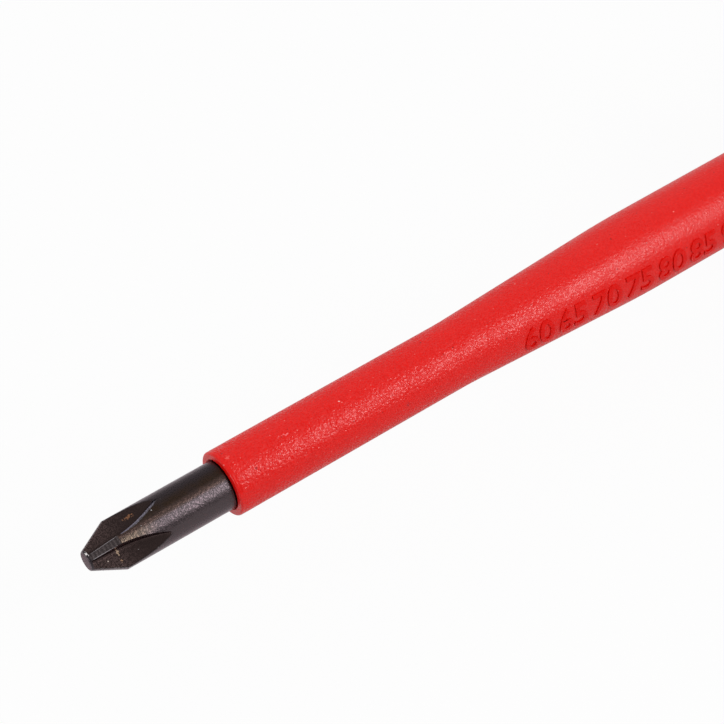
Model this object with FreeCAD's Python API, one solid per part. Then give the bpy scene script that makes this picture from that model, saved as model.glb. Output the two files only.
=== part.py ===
"""Insulated cross-point screwdriver, size 2 point on a 6 mm blade, with a three-component handle.

The tool is modelled along +X from its point (x = 0) with its centre line on the X axis, and each
piece is then moved to the row frame: the tool lies on a table, its hexagonal guard and end cap
flat on z = 0, with the origin under the middle of its length.
"""

import FreeCAD
import Part
import math
import os

from FreeCAD import Vector

# ---------------------------------------------------------------- driving dimensions, mm and degrees
# steel blade
BLADE_D = 6.0
REACH = 100.0  # point to the front face of the handle
TANG_LENGTH = 70.0  # blade held inside the handle
POINT_FLAT_D = 2.3  # blunt end of the cross point
POINT_HALF_ANGLE = 26.5
POINT_BUTTON_LENGTH = 0.3  # solid nose in front of the grooves
POINT_BUTTON_R = 0.2  # rounding of that nose
POINT_ROLL = 28.0  # how far the wings are turned from upright
FLUTE_COUNT = 4
FLUTE_ANGLE = 92.0  # included angle of each groove
FLUTE_ROOT_R = 0.35
WING_TIP_THICKNESS = 0.72
WING_TAPER = 3.3  # rise of the groove's root line towards the shank
FLUTE_STRAIGHT = 3.4  # length of the groove before it runs out
FLUTE_LENGTH = 9.5  # point to the end of the run-out
TANG_EAR_WIDTH = 8.6
TANG_EAR_THICKNESS = 3.6
TANG_EAR_LENGTH = 9.0
TANG_EAR_PITCH = 22.0
TANG_EAR_INSET = 2.4  # end of the blade to the last ear
TANG_END_CHAMFER = 0.6

# insulating sleeve on the blade
BARE_LENGTH = 17.85  # bare steel in front of the sleeve
SLEEVE_SLIM_D = 8.0
SLEEVE_FULL_D = 10.25
SLIM_END = 50.6  # where the cone starts, from the point
FULL_START = 76.2  # where the cone ends
SLIM_BLEND_R = 60.0
FULL_BLEND_R = 150.0
SLEEVE_LIP_R = 0.3
SLEEVE_MOUTH_CHAMFER = 0.2
SLEEVE_TAIL = 27.0  # sleeve held inside the handle
SLEEVE_COLLAR_D = 13.0
SLEEVE_COLLAR_WIDTH = 4.0
SLEEVE_COLLAR_INSET = 8.0  # handle front to collar

# first-shot core round the tang
TANG_CORE_D = 12.6
TANG_CORE_CAP = 6.0  # plastic behind the end of the blade
TANG_CORE_END_CHAMFER = 1.4
TANG_KEY_COUNT = 4
TANG_KEY_WIDTH = 3.0
TANG_KEY_HEIGHT = 1.5
TANG_KEY_START = 50.0  # handle front to the keys
TANG_KEY_LENGTH = 20.0

# handle, stations measured from its front face
HANDLE_LENGTH = 112.0
FLAT_TO_FLAT = 30.0  # hexagon of the guard and of the end cap
CORNER_D = 32.6  # the hexagon's corners are turned off to this
NOSE_D = 16.4
NOSE_ROOT_D = 19.2
NOSE_R = 1.6
GUARD_START = 8.0
GUARD_ROOT_R = 3.0
GUARD_CROWN = 11.4
GUARD_CROWN_WIDTH = 3.2
GUARD_CROWN_R = 1.0
SPIN_START = 17.4
SPIN_END = 38.0
PALM_START = 41.0
REAR_RING_WIDTH = 3.0  # hard ring between the palm and the end cap
CAP_LENGTH = 17.0

# outer form of the grip: a waist, a palm and a neck, joined by arcs that touch, with the palm
# milled to a hexagon
WAIST = 27.0
WAIST_D = 18.2
WAIST_R = 40.0  # lengthwise arc of the waist
PALM_D = 32.4
PALM_FLATS = 28.7  # flat to flat
NECK_D = 28.4
NECK_R = 60.0  # lengthwise arc of the neck, which lies under the rear ring
FORM_MARGIN = 2.4  # length of the form that is made beyond the grips, and then trimmed off

# soft layers
SPIN_SOFT = 1.6  # over the shell in the spin zone
PALM_SOFT = 3.4  # over the shell at both ends of the palm
PALM_CORE_D = 23.6  # shell under the middle of the palm
PALM_CORE_INSET = 8.5  # ends of the palm to that deeper length of shell
SEAM_WIDTH = 0.45  # shut-off groove between soft and hard plastic
SEAM_DEPTH = 0.5

# hard gliding pads that rise through every other flat of the palm grip
PAD_COUNT = 3
PAD_LENGTH = 30.0
PAD_WIDTH = 7.0

# end cap
CAP_SEAT_D = 18.0
CAP_SEAT_DEPTH = 4.0
CAP_FRONT_CHAMFER = 0.4
CAP_CROWN_OFFSET = 5.4  # front of the cap to the start of its widest band
CAP_CROWN_WIDTH = 5.4
CAP_CROWN_R = 3.0
CAP_END_D = 21.0
CAP_END_R = 3.0
HANG_HOLE_D = 6.0
HANG_HOLE_OFFSET = 7.8  # front of the cap to the middle of the hole
HANG_HOLE_CHAMFER = 0.8

# ------------------------------------------------------------------------------- derived dimensions
BLADE_R = BLADE_D / 2
BLADE_LENGTH = REACH + TANG_LENGTH
SLEEVE_END = REACH + SLEEVE_TAIL
OVERALL_LENGTH = REACH + HANDLE_LENGTH
CAP_START = HANDLE_LENGTH - CAP_LENGTH
PALM_END = CAP_START - REAR_RING_WIDTH
PALM_WIDEST = (PALM_START + PALM_END) / 2
NECK = (PALM_END + CAP_START) / 2
FORM_START = SPIN_START - FORM_MARGIN
FORM_END = CAP_START + FORM_MARGIN
WING_HALF_PITCH = 180.0 / FLUTE_COUNT
AXIS_HEIGHT = FLAT_TO_FLAT / 2
X_AXIS = Vector(1, 0, 0)
ORIGIN = Vector(0, 0, 0)


# ------------------------------------------------------------------------------------ drawing helpers
def rounded_edges(corners):
    """Closed outline through (x, y, radius) corners, each corner rounded by a tangent arc."""
    points = [Vector(x, y, 0) for x, y, _ in corners]
    count = len(points)
    starts, ends, arcs = [], [], []
    for i, (_, _, radius) in enumerate(corners):
        here, before, after = points[i], points[i - 1], points[(i + 1) % count]
        if radius <= 0:
            starts.append(here)
            ends.append(here)
            arcs.append(None)
            continue
        to_before = (before - here).normalize()
        to_after = (after - here).normalize()
        half = to_before.getAngle(to_after) / 2
        setback = radius / math.tan(half)
        middle = (to_before + to_after).normalize()
        crown = here + middle * (radius / math.sin(half) - radius)
        start, end = here + to_before * setback, here + to_after * setback
        starts.append(start)
        ends.append(end)
        arcs.append(Part.Arc(start, crown, end).toShape())
    edges = []
    for i in range(count):
        if arcs[i]:
            edges.append(arcs[i])
        leave, arrive = ends[i], starts[(i + 1) % count]
        if leave.distanceToPoint(arrive) > 1e-6:
            edges.append(Part.LineSegment(leave, arrive).toShape())
    return edges


def turned(corners):
    """Solid of revolution about the X axis from an outline of (x, radius, corner radius)."""
    face = Part.Face(Part.Wire(rounded_edges(corners)))
    return face.revolve(ORIGIN, X_AXIS, 360)


def rod(start, end, radius):
    """Plain cylinder on the X axis."""
    return Part.makeCylinder(radius, end - start, Vector(start, 0, 0), X_AXIS)


def slab(start, end):
    """Block that holds everything between two stations along the tool."""
    side = 4 * CORNER_D
    return Part.makeBox(end - start, side, side, Vector(start, -side / 2, -side / 2))


def spun(shape, angle):
    """Copy of a shape turned about the tool's centre line."""
    copy = shape.copy()
    copy.rotate(ORIGIN, X_AXIS, angle)
    return copy


def ring_of(shape, count, first_angle=0.0):
    """Copies of a shape, evenly spaced about the tool's centre line."""
    return [spun(shape, first_angle + 360.0 * i / count) for i in range(count)]


def hexagon_bar(start, end, flat_to_flat):
    """Hexagonal bar with one pair of flats level, as the tool lies on a table."""
    corner_r = flat_to_flat / 2 / math.cos(math.radians(30))
    corners = []
    for i in range(6):
        angle = math.radians(60 * i)
        corners.append(Vector(start, corner_r * math.cos(angle), corner_r * math.sin(angle)))
    face = Part.Face(Part.makePolygon(corners + corners[:1]))
    return face.extrude(Vector(end - start, 0, 0))


# ----------------------------------------------------------------------------------------- the blade
def flute_profile(bottom, up, side):
    """Section of a groove: a V whose root is rounded, standing on its lowest point."""
    half = math.radians(FLUTE_ANGLE / 2)
    centre = bottom + up * FLUTE_ROOT_R
    height = BLADE_D
    across = FLUTE_ROOT_R * math.cos(half)
    down = FLUTE_ROOT_R * math.sin(half)
    rim = across + (height - FLUTE_ROOT_R + down) * math.tan(half)
    left = centre - up * down - side * across
    right = centre - up * down + side * across
    left_top = bottom + up * height - side * rim
    right_top = bottom + up * height + side * rim
    edges = [
        Part.Arc(left, bottom, right).toShape(),
        Part.makeLine(right, right_top),
        Part.makeLine(right_top, left_top),
        Part.makeLine(left_top, left),
    ]
    return Part.Face(Part.Wire(edges))


def flute_cutter():
    """Form cutter for one groove, above the X axis: a prism along the straight root line, then
    a wheel of the same section that lifts out of the shank."""
    taper = math.radians(WING_TAPER)
    half_v = math.radians(FLUTE_ANGLE / 2)
    sharp_root = WING_TIP_THICKNESS / 2 / math.sin(math.radians(WING_HALF_PITCH))
    tip_root = sharp_root + FLUTE_ROOT_R * (1 / math.sin(half_v) - 1)
    bend_root = tip_root + FLUTE_STRAIGHT * math.tan(taper)
    # the wheel's circle leaves the root line at a tangent and meets the shank at FLUTE_LENGTH
    run_out = FLUTE_LENGTH - FLUTE_STRAIGHT
    rise = BLADE_R - bend_root
    turn = 2 * (math.atan2(rise, run_out) - taper)
    wheel_r = math.hypot(run_out, rise) / 2 / math.sin(turn / 2)

    along = Vector(math.cos(taper), 0, math.sin(taper))
    up = Vector(-math.sin(taper), 0, math.cos(taper))
    side = Vector(0, 1, 0)
    bend = Vector(FLUTE_STRAIGHT, 0, bend_root)
    section = flute_profile(bend, up, side)
    prism = section.extrude(along * -(FLUTE_STRAIGHT + BLADE_R))
    wheel = section.revolve(bend + up * wheel_r, Vector(0, -1, 0), 2 * math.degrees(turn))
    return prism.fuse(wheel)


def make_tang_ear(end):
    """Flattened, widened length of the tang that stops the blade turning or pulling out."""
    start = end - TANG_EAR_LENGTH
    corner = Vector(start, -TANG_EAR_WIDTH / 2, -TANG_EAR_THICKNESS / 2)
    ear = Part.makeBox(TANG_EAR_LENGTH, TANG_EAR_WIDTH, TANG_EAR_THICKNESS, corner)
    upright = [e for e in ear.Edges if abs(e.tangentAt(e.FirstParameter).z) > 0.9]
    return ear.makeChamfer((TANG_EAR_WIDTH - BLADE_D) / 2, upright)


def make_point_button():
    """Blunt solid nose that closes the front of the four grooves."""
    point_r = POINT_FLAT_D / 2
    back_r = point_r + POINT_BUTTON_LENGTH * math.tan(math.radians(POINT_HALF_ANGLE))
    return turned(
        [
            (0, 0, 0),
            (0, point_r, POINT_BUTTON_R),
            (POINT_BUTTON_LENGTH, back_r, 0),
            (POINT_BUTTON_LENGTH, 0, 0),
        ]
    )


def make_blade():
    point_r = POINT_FLAT_D / 2
    point_length = (BLADE_R - point_r) / math.tan(math.radians(POINT_HALF_ANGLE))
    end = BLADE_LENGTH
    bar = turned(
        [
            (0, 0, 0),
            (0, point_r, POINT_BUTTON_R),
            (point_length, BLADE_R, 0),
            (end - TANG_END_CHAMFER, BLADE_R, 0),
            (end, BLADE_R - TANG_END_CHAMFER, 0),
            (end, 0, 0),
        ]
    )
    bar = bar.cut(ring_of(flute_cutter(), FLUTE_COUNT, WING_HALF_PITCH + POINT_ROLL))
    bar = bar.fuse(make_point_button())
    for ear_end in (end - TANG_EAR_INSET, end - TANG_EAR_INSET - TANG_EAR_PITCH):
        pressed = rod(ear_end - TANG_EAR_LENGTH, ear_end, BLADE_D)
        bar = bar.cut(pressed).fuse(make_tang_ear(ear_end))
    return bar.removeSplitter()


# ---------------------------------------------------------------------------------------- the sleeve
def make_blade_sleeve():
    slim_r, full_r, bore_r = SLEEVE_SLIM_D / 2, SLEEVE_FULL_D / 2, BLADE_R
    collar_start = REACH + SLEEVE_COLLAR_INSET
    collar_end = collar_start + SLEEVE_COLLAR_WIDTH
    mouth = SLEEVE_MOUTH_CHAMFER
    return turned(
        [
            (BARE_LENGTH + mouth, bore_r, 0),
            (BARE_LENGTH, bore_r + mouth, 0),
            (BARE_LENGTH, slim_r, SLEEVE_LIP_R),
            (SLIM_END, slim_r, SLIM_BLEND_R),
            (FULL_START, full_r, FULL_BLEND_R),
            (collar_start, full_r, 0),
            (collar_start, SLEEVE_COLLAR_D / 2, 0),
            (collar_end, SLEEVE_COLLAR_D / 2, 0),
            (collar_end, full_r, 0),
            (SLEEVE_END, full_r, 0),
            (SLEEVE_END, bore_r, 0),
        ]
    )


# ---------------------------------------------------------------------------------------- the handle
def make_tang_core(blade):
    """First shot of hard plastic round the tang, with keys that lock it in the shell."""
    start = SLEEVE_END
    end = BLADE_LENGTH + TANG_CORE_CAP
    radius = TANG_CORE_D / 2
    chamfer = TANG_CORE_END_CHAMFER
    core = turned(
        [
            (start, 0, 0),
            (start, radius, 0),
            (end - chamfer, radius, 0),
            (end, radius - chamfer, 0),
            (end, 0, 0),
        ]
    )
    corner = Vector(REACH + TANG_KEY_START, -TANG_KEY_WIDTH / 2, 0)
    key = Part.makeBox(TANG_KEY_LENGTH, TANG_KEY_WIDTH, radius + TANG_KEY_HEIGHT, corner)
    return core.fuse(ring_of(key, TANG_KEY_COUNT)).cut(blade)


def crown_arc(station):
    """The saddle next to a station, the crown arc that touches it, and where the two meet.

    The palm's crown and a saddle (the waist or the neck) are both level at their own ends, so
    their two arc radii add up to a fixed length."""
    if station < PALM_WIDEST:
        saddle, saddle_d, saddle_r = WAIST, WAIST_D, WAIST_R
    else:
        saddle, saddle_d, saddle_r = NECK, NECK_D, NECK_R
    run = PALM_WIDEST - saddle
    rise = (PALM_D - saddle_d) / 2
    both = (run**2 + rise**2) / (2 * rise)
    return saddle, saddle_d / 2, saddle_r, both - saddle_r, saddle + run * saddle_r / both


def grip_radius(station):
    """Radius of the turned grip at a distance from the handle's front face."""
    saddle, low_r, saddle_r, crown_r, meet = crown_arc(station)
    from_crown = station - PALM_WIDEST
    if abs(from_crown) < abs(meet - PALM_WIDEST):
        return PALM_D / 2 - crown_r + math.sqrt(crown_r**2 - from_crown**2)
    return low_r + saddle_r - math.sqrt(saddle_r**2 - (station - saddle) ** 2)


def grip_form(inset=0.0):
    """Turned form of the grip from the guard to the end cap, or the same form set in by a wall."""
    joints = [FORM_START, crown_arc(FORM_START)[-1], PALM_WIDEST, crown_arc(FORM_END)[-1], FORM_END]
    start, end = Vector(REACH + FORM_START, 0, 0), Vector(REACH + FORM_END, 0, 0)
    points = []
    for before, after in zip(joints, joints[1:]):
        points += [before, (before + after) / 2]
    points.append(FORM_END)
    points = [Vector(REACH + s, grip_radius(s) - inset, 0) for s in points]
    edges = [Part.makeLine(start, points[0])]
    for i in range(0, len(points) - 2, 2):
        edges.append(Part.Arc(points[i], points[i + 1], points[i + 2]).toShape())
    edges += [Part.makeLine(points[-1], end), Part.makeLine(end, start)]
    return Part.Face(Part.Wire(edges)).revolve(ORIGIN, X_AXIS, 360)


def milled_form(inset=0.0):
    """The grip's form with the palm's six flats."""
    bar = hexagon_bar(REACH + FORM_START, REACH + FORM_END, PALM_FLATS - 2 * inset)
    return grip_form(inset).common(bar)


def handle_slab(start, end):
    return slab(REACH + start, REACH + end)


def pad_prisms(margin=0.0):
    """Long rounded windows for the gliding pads, cut outwards from the centre line at the flats."""
    radius = PAD_WIDTH / 2 + margin
    reach = (PAD_LENGTH - PAD_WIDTH) / 2
    middle = REACH + PALM_WIDEST
    corner = Vector(middle - reach, -radius, 0)
    prism = Part.makeBox(2 * reach, 2 * radius, CORNER_D, corner)
    for hand in (-1, 1):
        foot = Vector(middle + hand * reach, 0, 0)
        prism = prism.fuse(Part.makeCylinder(radius, CORNER_D, foot))
    return ring_of(prism.removeSplitter(), PAD_COUNT)


def make_nose():
    """Nose and anti-roll guard of the handle, turned and then milled to a hexagon."""
    crown_r = CORNER_D / 2
    crown_end = GUARD_CROWN + GUARD_CROWN_WIDTH
    guard = turned(
        [
            (REACH, 0, 0),
            (REACH, NOSE_D / 2, NOSE_R),
            (REACH + GUARD_START, NOSE_ROOT_D / 2, GUARD_ROOT_R),
            (REACH + GUARD_CROWN, crown_r, GUARD_CROWN_R),
            (REACH + crown_end, crown_r, GUARD_CROWN_R),
            (REACH + SPIN_START, grip_radius(SPIN_START), 0),
            (REACH + SPIN_START, 0, 0),
        ]
    )
    return guard.common(hexagon_bar(REACH, REACH + SPIN_START, FLAT_TO_FLAT))


def turned_seat(profile):
    """Turned core under a soft layer, through (station, radius) points along the handle."""
    corners = [(REACH + station, radius, 0) for station, radius in profile]
    return turned([(corners[0][0], 0, 0)] + corners + [(corners[-1][0], 0, 0)])


def spin_seat():
    stations = (SPIN_START, WAIST, SPIN_END)
    return turned_seat([(station, grip_radius(station) - SPIN_SOFT) for station in stations])


def palm_seat():
    return turned_seat(
        [
            (PALM_START, grip_radius(PALM_START) - PALM_SOFT),
            (PALM_START + PALM_CORE_INSET, PALM_CORE_D / 2),
            (PALM_END - PALM_CORE_INSET, PALM_CORE_D / 2),
            (PALM_END, grip_radius(PALM_END) - PALM_SOFT),
        ]
    )


def make_handle_shell(blade, sleeve, tang_core):
    """Hard shell: nose and guard, seats for the soft grips, rings, gliding pads and cap spigot."""
    form = milled_form()
    palm_zone = handle_slab(PALM_START, PALM_END)
    shell = make_nose()
    shell = shell.fuse([spin_seat(), palm_seat()])
    shell = shell.fuse(form.common(handle_slab(SPIN_END, PALM_START)))
    shell = shell.fuse([form.common(prism).common(palm_zone) for prism in pad_prisms()])
    shell = shell.fuse(form.common(handle_slab(PALM_END, CAP_START)))
    cap_seat = REACH + CAP_START + CAP_SEAT_DEPTH
    shell = shell.fuse(rod(REACH + CAP_START, cap_seat, CAP_SEAT_D / 2))
    return shell.cut([sleeve, tang_core, blade])


def make_spin_grip():
    grip = grip_form().common(handle_slab(SPIN_START, SPIN_END))
    rim = grip_form(SEAM_DEPTH)
    seams = [
        handle_slab(SPIN_START, SPIN_START + SEAM_WIDTH).cut(rim),
        handle_slab(SPIN_END - SEAM_WIDTH, SPIN_END).cut(rim),
    ]
    return grip.cut(seams).cut(spin_seat())


def make_palm_grip():
    grip = milled_form().common(handle_slab(PALM_START, PALM_END))
    rim = milled_form(SEAM_DEPTH)
    seams = [
        handle_slab(PALM_START, PALM_START + SEAM_WIDTH).cut(rim),
        handle_slab(PALM_END - SEAM_WIDTH, PALM_END).cut(rim),
    ]
    seams += [prism.cut(rim) for prism in pad_prisms(SEAM_WIDTH)]
    return grip.cut(seams).cut(palm_seat()).cut(pad_prisms())


def make_end_cap():
    start, end = REACH + CAP_START, OVERALL_LENGTH
    front_r, crown_r = grip_radius(CAP_START), CORNER_D / 2
    crown = start + CAP_CROWN_OFFSET
    cap = turned(
        [
            (start, 0, 0),
            (start, front_r - CAP_FRONT_CHAMFER, 0),
            (start + CAP_FRONT_CHAMFER, front_r, 0),
            (crown, crown_r, CAP_CROWN_R),
            (crown + CAP_CROWN_WIDTH, crown_r, CAP_CROWN_R),
            (end, CAP_END_D / 2, CAP_END_R),
            (end, 0, 0),
        ]
    )
    cap = cap.common(hexagon_bar(start, end, FLAT_TO_FLAT))
    hole_r = HANG_HOLE_D / 2
    centre = start + HANG_HOLE_OFFSET
    hole = Part.makeCylinder(hole_r, 2 * CORNER_D, Vector(centre, 0, -CORNER_D))
    mouth_foot = Vector(centre, 0, FLAT_TO_FLAT / 2 - HANG_HOLE_CHAMFER)
    mouth = Part.makeCone(
        hole_r, hole_r + 2 * HANG_HOLE_CHAMFER, 2 * HANG_HOLE_CHAMFER, mouth_foot
    )
    seat = rod(start, start + CAP_SEAT_DEPTH, CAP_SEAT_D / 2)
    return cap.cut([hole, mouth, spun(mouth, 180), seat])


def main():
    blade = make_blade()
    sleeve = make_blade_sleeve()
    tang_core = make_tang_core(blade)
    shell = make_handle_shell(blade, sleeve, tang_core)
    nodes = {
        "blade": blade,
        "blade_sleeve": sleeve,
        "tang_core": tang_core,
        "handle_shell": shell,
        "spin_grip": make_spin_grip(),
        "palm_grip": make_palm_grip(),
        "end_cap": make_end_cap(),
    }
    os.makedirs("parts", exist_ok=True)
    for name, shape in nodes.items():
        shape.translate(Vector(-OVERALL_LENGTH / 2, 0, AXIS_HEIGHT))
        shape.exportStep(f"parts/{name}.step")
        solids, volume = len(shape.Solids), round(shape.Volume)
        print(name, shape.isValid(), solids, "solids", volume, "mm3", shape.BoundBox)


main()
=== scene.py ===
# %% [markdown]
# # An insulated screwdriver
# The tool is a dark steel blade with a cross point, a red insulating sleeve moulded over the blade,
# and a handle of hard red and soft black plastic. The construction model comes in as a frame that
# is never moved. Every piece that is made here lies in that frame, in metres, with the tool along X
# and its point at the low end.

import math

import bpy
from mathutils import Matrix, Vector


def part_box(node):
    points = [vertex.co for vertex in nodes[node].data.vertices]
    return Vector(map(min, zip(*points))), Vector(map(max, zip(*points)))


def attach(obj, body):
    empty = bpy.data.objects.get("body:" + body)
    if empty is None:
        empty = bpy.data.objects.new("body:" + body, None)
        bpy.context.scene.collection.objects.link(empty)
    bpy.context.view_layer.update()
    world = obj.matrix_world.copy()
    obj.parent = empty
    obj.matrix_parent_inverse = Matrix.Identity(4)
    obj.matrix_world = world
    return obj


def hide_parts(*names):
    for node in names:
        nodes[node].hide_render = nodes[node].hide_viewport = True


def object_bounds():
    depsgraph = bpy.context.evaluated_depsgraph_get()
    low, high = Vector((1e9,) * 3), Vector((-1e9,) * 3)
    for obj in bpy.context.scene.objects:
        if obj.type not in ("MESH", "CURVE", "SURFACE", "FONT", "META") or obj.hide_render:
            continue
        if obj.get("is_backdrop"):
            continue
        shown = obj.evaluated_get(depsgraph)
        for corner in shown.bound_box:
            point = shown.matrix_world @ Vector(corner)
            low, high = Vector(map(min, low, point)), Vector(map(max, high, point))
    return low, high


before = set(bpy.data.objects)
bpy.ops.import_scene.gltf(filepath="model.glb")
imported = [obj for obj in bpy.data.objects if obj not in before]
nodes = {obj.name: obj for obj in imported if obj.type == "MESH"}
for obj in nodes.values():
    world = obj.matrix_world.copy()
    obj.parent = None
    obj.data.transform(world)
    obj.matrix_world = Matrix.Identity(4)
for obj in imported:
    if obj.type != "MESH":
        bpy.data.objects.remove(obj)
cad_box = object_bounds()
MM = 0.001
print("pieces in the frame:", sorted(nodes))

# %% [markdown]
# Every later cell needs two measures from the frame: where the point is, and how high the centre
# line lies. From these, a place on the tool is given as a tool maker would give it, by millimetres
# from the point, an angle round the tool and a radius.

# %% Places along the tool
blade_low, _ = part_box("blade")
sleeve_low, sleeve_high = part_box("blade_sleeve")
POINT_X = blade_low[0]
AXIS_Z = (sleeve_low[2] + sleeve_high[2]) / 2
print("point at", round(POINT_X, 4), "centre line at", round(AXIS_Z, 4), "m")


def on_tool(distance, angle=0.0, radius=0.0):
    """Place at a distance from the point (mm), turned from the top towards the front (degrees)."""
    turn = math.radians(angle)
    across, up = -math.sin(turn) * radius * MM, math.cos(turn) * radius * MM
    return Vector((POINT_X + distance * MM, across, AXIS_Z + up))


# %% [markdown]
# The camera looks down at the front half of the tool with a long lens. It is placed by an aim on
# the tool, a compass heading, a height angle and a distance, as on the plan of a studio.

# %% Camera
AIM_AT, AIM_SHIFT = 41.2, Vector((0, 5.26, 0.04))  # along the tool, and off its centre line
CAMERA_AIM = on_tool(AIM_AT) + AIM_SHIFT * MM
CAMERA_HEADING = 36.5  # degrees from +Y towards +X that the lens looks
CAMERA_HEIGHT = 48.93  # degrees above the table
CAMERA_DISTANCE = 282.6 * MM
LENS_MM = 120.76
SENSOR_MM = 36.0
NEAREST = 10 * MM  # anything closer to the lens is left out


def add_camera():
    heading, height = math.radians(CAMERA_HEADING), math.radians(CAMERA_HEIGHT)
    level = math.cos(height)
    look = Vector((level * math.sin(heading), level * math.cos(heading), -math.sin(height)))
    data = bpy.data.cameras.new("camera")
    data.lens = LENS_MM
    data.sensor_width = SENSOR_MM
    data.clip_start = NEAREST
    camera = bpy.data.objects.new("camera", data)
    bpy.context.collection.objects.link(camera)
    camera.location = CAMERA_AIM - look * CAMERA_DISTANCE
    camera.rotation_euler = look.to_track_quat("-Z", "Y").to_euler()
    bpy.context.scene.camera = camera
    return camera


camera = add_camera()
print("camera at", tuple(round(c, 3) for c in camera.location))

# %% [markdown]
# A material is a small machine built from nodes. Two helpers, which every look below uses, keep
# that short: one node of arithmetic, and one that carries a number over from one range to another.

# %% Nodes: arithmetic and ranges
RANGE_SOCKETS = ("From Min", "From Max", "To Min", "To Max")


def arithmetic(tree, operation, first, second=0.0):
    """A Math node; each value is a number or the output of another node."""
    node = tree.nodes.new("ShaderNodeMath")
    node.operation = operation
    for socket, value in zip(node.inputs, (first, second)):
        if isinstance(value, (int, float)):
            socket.default_value = value
        else:
            tree.links.new(value, socket)
    return node.outputs[0]


def graded(tree, value, low, high, to_low=0.0, to_high=1.0, kind="SMOOTHSTEP"):
    """Map a number from one range to another, held at both ends."""
    node = tree.nodes.new("ShaderNodeMapRange")
    node.interpolation_type = kind
    tree.links.new(value, node.inputs["Value"])
    for name, number in zip(RANGE_SOCKETS, (low, high, to_low, to_high)):
        node.inputs[name].default_value = number
    return node.outputs["Result"]


print("node helpers ready")

# %% [markdown]
# The tool lies on a plain pale table. A real sweep of white card has no edge in view, so one large
# plane is enough. Most of its white is light of its own, which only the camera and, faintly, shiny
# surfaces see. The rest is ordinary white card, and that is what keeps the tool's soft shadow.

# %% Table
TABLE_SIZE = 3.0  # metres
CARD_WHITE = (0.62, 0.62, 0.62, 1)
CARD_GLOW, CARD_SHINE = 0.95, 0.1  # own light towards the camera and towards shiny surfaces
WHITE = (1, 1, 1, 1)
bpy.context.scene.view_settings.view_transform = "Standard"


def in_background(tree, to_camera, to_shine):
    """One number for rays from the camera, one for rays in a shine or through glass, else 0."""
    paths = tree.nodes.new("ShaderNodeLightPath")
    total = arithmetic(tree, "MULTIPLY", paths.outputs["Is Camera Ray"], to_camera)
    for name in ("Is Glossy Ray", "Is Transmission Ray"):
        share = arithmetic(tree, "MULTIPLY", paths.outputs[name], to_shine)
        total = arithmetic(tree, "MAXIMUM", total, share)
    return total


def white_card():
    card = bpy.data.materials.new("white_card")
    card.use_nodes = True
    tree = card.node_tree
    tree.nodes.clear()
    paper = tree.nodes.new("ShaderNodeBsdfDiffuse")
    paper.inputs["Color"].default_value = CARD_WHITE
    glow = tree.nodes.new("ShaderNodeEmission")
    glow.inputs["Color"].default_value = WHITE
    mix = tree.nodes.new("ShaderNodeMixShader")
    tree.links.new(in_background(tree, CARD_GLOW, CARD_SHINE), mix.inputs[0])
    tree.links.new(paper.outputs[0], mix.inputs[1])
    tree.links.new(glow.outputs[0], mix.inputs[2])
    output = tree.nodes.new("ShaderNodeOutputMaterial")
    tree.links.new(mix.outputs[0], output.inputs[0])
    return card


bpy.ops.object.select_all(action="DESELECT")
bpy.ops.mesh.primitive_plane_add(size=TABLE_SIZE)
table = bpy.context.active_object
table.name = "table"
table.data.materials.append(white_card())
table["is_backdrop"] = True
print("table", round(table.dimensions.x, 2), "m wide")

# %% [markdown]
# The surroundings are white, and dimmer for lighting than for looking at, so that nothing burns
# out. They are brighter behind the tool than in front of it, as by a window, which evens the shade
# on its round side. A wide lamp stands where its reflection runs along the middle of the tool, and
# a small one lights the point from the left.

# %% Light
FRONT_LEVEL, BACK_LEVEL = 0.34, 1.15  # of the surroundings, for lighting
SKY_REACH = 0.7  # how far to the front and back, of 1, the level changes
SHINE_LEVEL = 0.40  # of the surroundings, in a reflection
LAMPS_AT = 45.0  # place on the tool that the lamps face
KEY_FROM = Vector((0.408, -0.65, 0.642))  # direction from the tool to the lamp
KEY_SIZE = (0.26, 0.46)  # metres along the tool and across it
KEY_DISTANCE, KEY_POWER = 0.75, 3.0
LEFT_FROM = Vector((-0.92, -0.20, 0.36))
LEFT_SIZE = (0.20, 0.20)
LEFT_DISTANCE, LEFT_POWER = 0.60, 0.45


def white_surroundings():
    world = bpy.data.worlds.new("surroundings")
    bpy.context.scene.world = world
    world.use_nodes = True
    tree = world.node_tree
    tree.nodes.clear()
    ways = tree.nodes.new("ShaderNodeTexCoord")
    apart = tree.nodes.new("ShaderNodeSeparateXYZ")
    tree.links.new(ways.outputs["Generated"], apart.inputs[0])
    levels = (-SKY_REACH, SKY_REACH, FRONT_LEVEL, BACK_LEVEL)
    lighting_level = graded(tree, apart.outputs["Y"], *levels, kind="LINEAR")
    seen_level = in_background(tree, 1.0, SHINE_LEVEL)
    mix = tree.nodes.new("ShaderNodeMixShader")
    tree.links.new(in_background(tree, 1.0, 1.0), mix.inputs[0])
    for slot, level in ((1, lighting_level), (2, seen_level)):
        white = tree.nodes.new("ShaderNodeBackground")
        white.inputs["Color"].default_value = WHITE
        tree.links.new(level, white.inputs["Strength"])
        tree.links.new(white.outputs[0], mix.inputs[slot])
    output = tree.nodes.new("ShaderNodeOutputWorld")
    tree.links.new(mix.outputs[0], output.inputs[0])


def soft_lamp(name, direction, size, distance, power):
    """Flat lamp that faces the tool; its size is along the tool and across it."""
    data = bpy.data.lights.new(name, "AREA")
    data.shape = "RECTANGLE"
    data.size, data.size_y = size
    data.energy = power
    lamp = bpy.data.objects.new(name, data)
    bpy.context.collection.objects.link(lamp)
    back = direction.normalized()
    across = Vector((1, 0, 0)).cross(back).normalized()
    lamp.location = on_tool(LAMPS_AT) + back * distance
    facing = Matrix((across.cross(back), across, back)).transposed()
    lamp.rotation_euler = facing.to_euler()
    return lamp


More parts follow.
